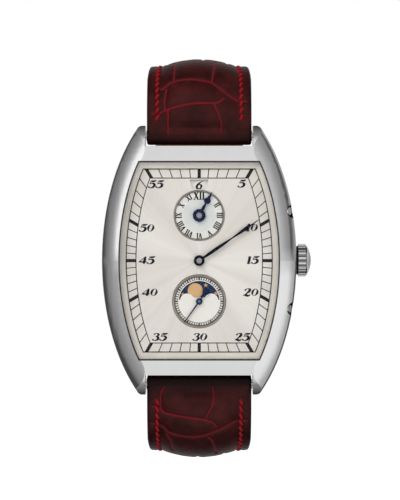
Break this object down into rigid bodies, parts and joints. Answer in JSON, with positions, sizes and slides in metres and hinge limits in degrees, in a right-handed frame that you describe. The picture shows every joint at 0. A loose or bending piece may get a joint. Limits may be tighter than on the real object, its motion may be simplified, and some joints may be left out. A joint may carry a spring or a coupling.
{
  "type": "tonneau wristwatch",
  "caption": "Tonneau wristwatch with regulator dial, moon disc, date window, crown, padded strap and pin buckle.",
  "frame": {"origin": "centre of the flat outer face of the case back", "axes": "+Z towards 12 o'clock, +X towards the crown at 3 o'clock, +Y out of the case back towards the wrist"},
  "size_m": [0.0349, 0.0949, 0.0686],
  "materials": {
    "polished_steel": "polished",
    "brushed_steel": "fine brushed",
    "rhodium_plate": "striped and rhodium plated",
    "sapphire": "clear polished sapphire",
    "seal_rubber": "matt black",
    "silver_dial": "silvered, sunray guilloche",
    "flange_silver": "warm silvered, satin",
    "blued_steel": "heat blued, polished",
    "gilt_brass": "gilt, circular grained",
    "bearing_ruby": "polished synthetic ruby",
    "moon_blue": "dark blue enamel with a gold moon",
    "oxblood_leather": "glossy alligator grain, oxblood",
    "lining_leather": "smooth dark calf"
  },
  "bodies": {
    "watch": {"case_middle": "polished_steel", "case_back": "polished_steel", "case_back_seal": "seal_rubber", "case_back_glass": "sapphire", "case_back_screws": "polished_steel", "crystal": "sapphire", "crystal_gasket": "seal_rubber", "dial_flange": "flange_silver", "dial": "silver_dial", "hour_dial_ring": "brushed_steel", "seconds_dial_ring": "brushed_steel", "movement_ring": "brushed_steel", "main_plate": "rhodium_plate", "train_bridge": "rhodium_plate", "balance_cock": "rhodium_plate", "pallet_bridge": "rhodium_plate", "bearing_jewels": "bearing_ruby", "bridge_screws": "blued_steel", "hairspring": "blued_steel", "rotor_bearing": "brushed_steel", "motion_work_posts": "brushed_steel", "crown_tube": "polished_steel", "upper_spring_bar": "brushed_steel", "lower_spring_bar": "brushed_steel"},
    "minutes": {"center_wheel": "gilt_brass", "cannon_pinion": "brushed_steel", "minute_hand": "blued_steel", "minute_hand_cap": "polished_steel"},
    "hours": {"hour_wheel": "gilt_brass", "hour_hand": "blued_steel", "hour_hand_cap": "polished_steel"},
    "seconds": {"fourth_wheel": "gilt_brass", "seconds_hand": "blued_steel"},
    "minute_works": {"minute_wheel": "gilt_brass"},
    "third": {"third_wheel": "gilt_brass"},
    "barrel": {"mainspring_barrel": "gilt_brass", "mainspring": "brushed_steel"},
    "ratchet": {"ratchet_wheel": "brushed_steel"},
    "escape": {"escape_wheel": "brushed_steel"},
    "pallets": {"pallet_fork": "brushed_steel"},
    "balance": {"balance_wheel": "gilt_brass"},
    "rotor": {"winding_rotor": "rhodium_plate"},
    "date": {"date_disc": "silver_dial"},
    "moon": {"moon_disc": "moon_blue"},
    "keyless": {"setting_lever": "brushed_steel"},
    "crown": {"winding_stem": "brushed_steel", "crown": "polished_steel", "crown_gasket": "seal_rubber"},
    "date_push": {"date_corrector": "polished_steel"},
    "moon_push": {"moon_corrector": "polished_steel"},
    "upper_strap": {"upper_strap_leather": "oxblood_leather", "upper_strap_lining": "lining_leather", "fixed_keeper": "oxblood_leather"},
    "loose_keeper": {"sliding_keeper": "oxblood_leather"},
    "buckle": {"buckle_frame": "polished_steel", "buckle_bar": "brushed_steel"},
    "tongue": {"buckle_tongue": "polished_steel"},
    "lower_strap": {"lower_strap_leather": "oxblood_leather", "lower_strap_lining": "lining_leather"}
  },
  "joints": [
    {"name": "seconds_turn", "type": "hinge", "parent": "watch", "child": "seconds", "pos_m": [0, -0.004, -0.0068], "axis": [0, 1, 0], "continuous": true},
    {"name": "minutes_turn", "type": "hinge", "parent": "watch", "child": "minutes", "pos_m": [0, -0.004, 0], "axis": [0, 1, 0], "continuous": true},
    {"name": "hours_turn", "type": "hinge", "parent": "watch", "child": "hours", "pos_m": [0, -0.004, 0.00753], "axis": [0, 1, 0], "continuous": true},
    {"name": "minute_works_turn", "type": "hinge", "parent": "watch", "child": "minute_works", "pos_m": [0.00109, -0.004, 0.00368], "axis": [0, 1, 0], "continuous": true},
    {"name": "third_turn", "type": "hinge", "parent": "watch", "child": "third", "pos_m": [0.00239, -0.004, -0.00381], "axis": [0, 1, 0], "continuous": true},
    {"name": "barrel_turn", "type": "hinge", "parent": "watch", "child": "barrel", "pos_m": [-0.00464, -0.004, 0.00418], "axis": [0, 1, 0], "continuous": true},
    {"name": "escape_turn", "type": "hinge", "parent": "watch", "child": "escape", "pos_m": [-0.003, -0.004, -0.00611], "axis": [0, 1, 0], "continuous": true},
    {"name": "ratchet_turn", "type": "hinge", "parent": "watch", "child": "ratchet", "pos_m": [-0.00464, -0.004, 0.00418], "axis": [0, 1, 0], "continuous": true},
    {"name": "pallet_rock", "type": "hinge", "parent": "watch", "child": "pallets", "pos_m": [-0.00536, -0.004, -0.00451], "axis": [0, 1, 0], "range_deg": [-3, 3]},
    {"name": "balance_swing", "type": "hinge", "parent": "watch", "child": "balance", "pos_m": [-0.0082, -0.004, -0.0026], "axis": [0, 1, 0], "range_deg": [-135, 135], "stiffness_Nm_per_rad": 0.00000005},
    {"name": "rotor_turn", "type": "hinge", "parent": "watch", "child": "rotor", "pos_m": [0, -0.004, 0], "axis": [0, 1, 0], "continuous": true},
    {"name": "date_turn", "type": "hinge", "parent": "watch", "child": "date", "pos_m": [0, -0.004, 0], "axis": [0, 1, 0], "continuous": true},
    {"name": "moon_turn", "type": "hinge", "parent": "watch", "child": "moon", "pos_m": [0, -0.004, -0.0068], "axis": [0, 1, 0], "continuous": true},
    {"name": "crown_pull", "type": "slide", "parent": "watch", "child": "keyless", "axis": [1, 0, 0], "range_m": [0, 0.0009]},
    {"name": "crown_turn", "type": "hinge", "parent": "keyless", "child": "crown", "pos_m": [0.0165, -0.00465, 0], "axis": [1, 0, 0], "continuous": true},
    {"name": "date_push_in", "type": "slide", "parent": "watch", "child": "date_push", "axis": [-0.848, 0.5299, 0], "range_m": [0, 0.0003], "stiffness_N_per_m": 400},
    {"name": "moon_push_in", "type": "slide", "parent": "watch", "child": "moon_push", "axis": [-0.848, 0.5299, 0], "range_m": [0, 0.0003], "stiffness_N_per_m": 400},
    {"name": "upper_strap_swing", "type": "hinge", "parent": "watch", "child": "upper_strap", "pos_m": [0, -0.003, 0.0209], "axis": [1, 0, 0], "range_deg": [0, 60]},
    {"name": "keeper_slide", "type": "slide", "parent": "upper_strap", "child": "loose_keeper", "axis": [0, -0.6947, 0.7193], "range_m": [-0.0015, 0.003]},
    {"name": "buckle_swing", "type": "hinge", "parent": "upper_strap", "child": "buckle", "pos_m": [0, 0.04831, 0.00409], "axis": [1, 0, 0], "range_deg": [-60, 25]},
    {"name": "tongue_swing", "type": "hinge", "parent": "buckle", "child": "tongue", "pos_m": [0, 0.04831, 0.00409], "axis": [1, 0, 0], "range_deg": [0, 60]},
    {"name": "lower_strap_swing", "type": "hinge", "parent": "watch", "child": "lower_strap", "pos_m": [0, -0.003, -0.0209], "axis": [-1, 0, 0], "range_deg": [0, 60]}
  ],
  "couplings": [
    {"joint": "third_turn", "follows": "seconds_turn", "ratio": -0.13333},
    {"joint": "minutes_turn", "follows": "seconds_turn", "ratio": 0.016667},
    {"joint": "barrel_turn", "follows": "seconds_turn", "ratio": -0.002381},
    {"joint": "minute_works_turn", "follows": "seconds_turn", "ratio": -0.0055556},
    {"joint": "hours_turn", "follows": "seconds_turn", "ratio": 0.0013889},
    {"joint": "escape_turn", "follows": "seconds_turn", "ratio": -10}
  ]
}
